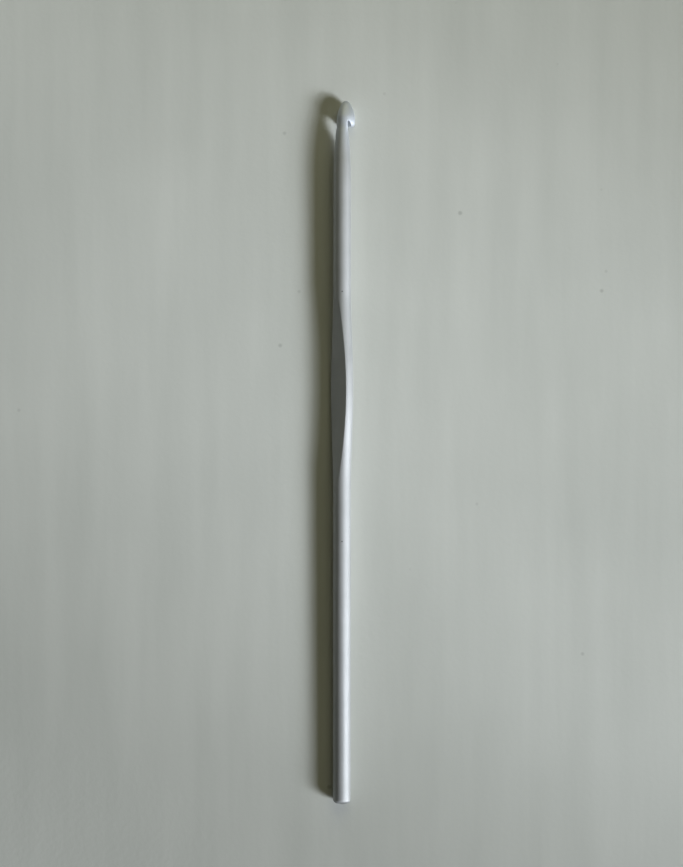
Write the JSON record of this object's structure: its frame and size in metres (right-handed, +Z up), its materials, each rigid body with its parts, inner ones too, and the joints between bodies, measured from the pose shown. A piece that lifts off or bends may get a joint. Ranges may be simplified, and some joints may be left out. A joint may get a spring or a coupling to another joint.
{
  "type": "crochet hook",
  "caption": "Slim one-piece aluminium crochet hook with a blunt bullet head, a slot cut in under its lip, a tapered neck and a flat pressed thumb rest.",
  "frame": {"origin": "on the table under the middle of the hook's bounding box, as the hook lies at rest", "axes": "+X along the hook from the butt towards the tip of the head, +Z up from the table, +Y to the side that the mouth turns away from"},
  "size_m": [0.14, 0.0048, 0.0044],
  "materials": {
    "aluminium": "satin"
  },
  "bodies": {
    "root": {"hook_head": "aluminium", "shank": "aluminium", "thumb_rest": "aluminium", "handle": "aluminium"}
  },
  "joints": []
}
